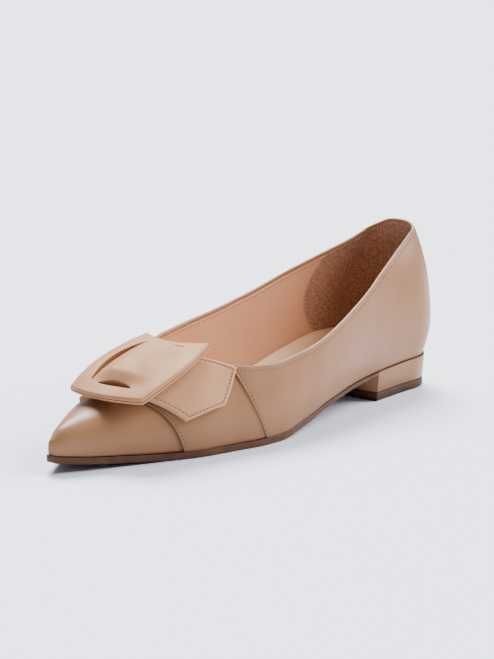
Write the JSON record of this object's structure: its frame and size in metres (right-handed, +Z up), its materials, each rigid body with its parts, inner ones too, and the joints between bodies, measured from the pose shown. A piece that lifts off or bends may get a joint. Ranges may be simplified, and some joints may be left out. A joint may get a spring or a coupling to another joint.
{
  "type": "pointed flat shoe",
  "caption": "Pointed-toe slip-on flat for women: leather upper with a cross band, a folded strap and a large covered buckle, thin sole and low block heel.",
  "frame": {"origin": "on the ground, under the middle of the shoe's box", "axes": "+Z up, the toe points along -Y and the heel along +Y, +X is the outer side of the left foot"},
  "size_m": [0.0802, 0.268, 0.0825],
  "materials": {
    "nude_leather": "smooth nude leather with a soft satin shine",
    "sock_leather": "thin matt peach lining leather",
    "sole_leather": "brown sole leather with a dyed edge",
    "brown_rubber": "matt brown rubber"
  },
  "bodies": {
    "root": {"upper": "nude_leather", "outsole": "sole_leather", "insole": "sock_leather", "heel_block": "nude_leather", "heel_top_piece": "brown_rubber", "strap": "nude_leather", "buckle": "nude_leather"}
  },
  "joints": []
}
